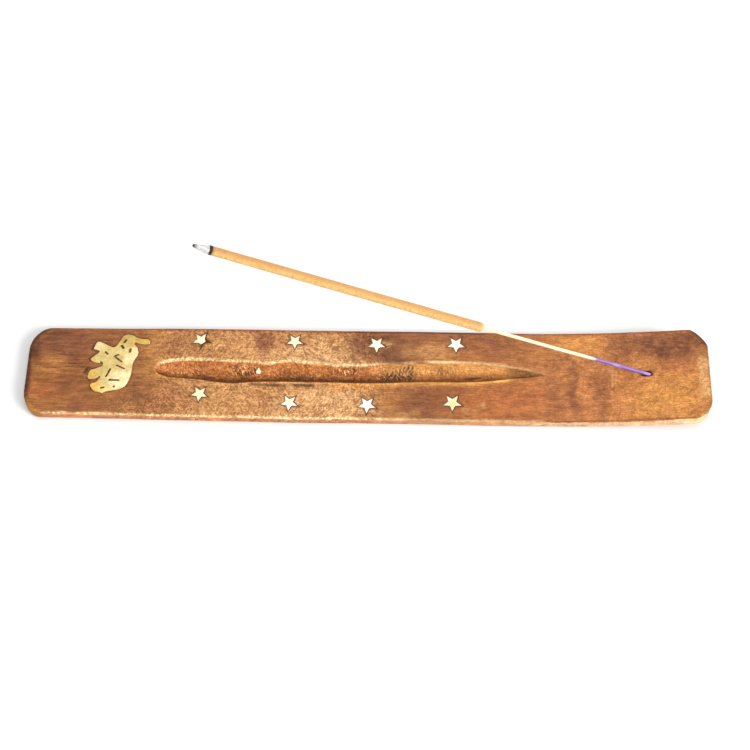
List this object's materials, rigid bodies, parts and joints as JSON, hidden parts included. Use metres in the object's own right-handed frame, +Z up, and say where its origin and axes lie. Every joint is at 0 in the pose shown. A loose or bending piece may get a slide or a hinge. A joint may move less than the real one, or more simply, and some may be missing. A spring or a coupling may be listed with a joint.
{
  "type": "incense burner",
  "caption": "Flat wooden incense holder with a curled end, gouged ash trough, brass star and elephant inlays, and a slanted incense stick that lifts out of its hole.",
  "frame": {"origin": "middle of the underside, on the surface that the holder stands on", "axes": "+X along the board towards its curled end, +Y across the board towards the elephant's head, +Z up"},
  "size_m": [0.255, 0.0376, 0.0914],
  "materials": {
    "wood": "oiled sheesham or mango wood with a toasted, mottled grain",
    "brass": "hand-filed sheet, polished flush with the wood",
    "lac": "dark brown lac, matt",
    "bamboo": "pale split bamboo, its lower end dyed purple",
    "incense": "golden tan incense paste of wood powder and resin, matt and slightly grainy",
    "char": "burnt incense, matt black",
    "ash": "flaky pale grey ash"
  },
  "bodies": {
    "holder": {"board": "wood", "elephant_inlay": "brass", "elephant_bedding": "lac", "star_inlay_1": "brass", "star_inlay_2": "brass", "star_inlay_3": "brass", "star_inlay_4": "brass", "star_inlay_5": "brass", "star_inlay_6": "brass", "star_inlay_7": "brass", "star_inlay_8": "brass", "star_bedding_1": "lac", "star_bedding_2": "lac", "star_bedding_3": "lac", "star_bedding_4": "lac", "star_bedding_5": "lac", "star_bedding_6": "lac", "star_bedding_7": "lac", "star_bedding_8": "lac"},
    "stick": {"bamboo_core": "bamboo", "incense_coating": "incense", "char_ring": "char", "ash_tip": "ash"}
  },
  "joints": [
    {"name": "stick_lift", "type": "slide", "parent": "holder", "child": "stick", "axis": [-0.8862, 0, 0.4633], "range_m": [0, 0.03]}
  ]
}
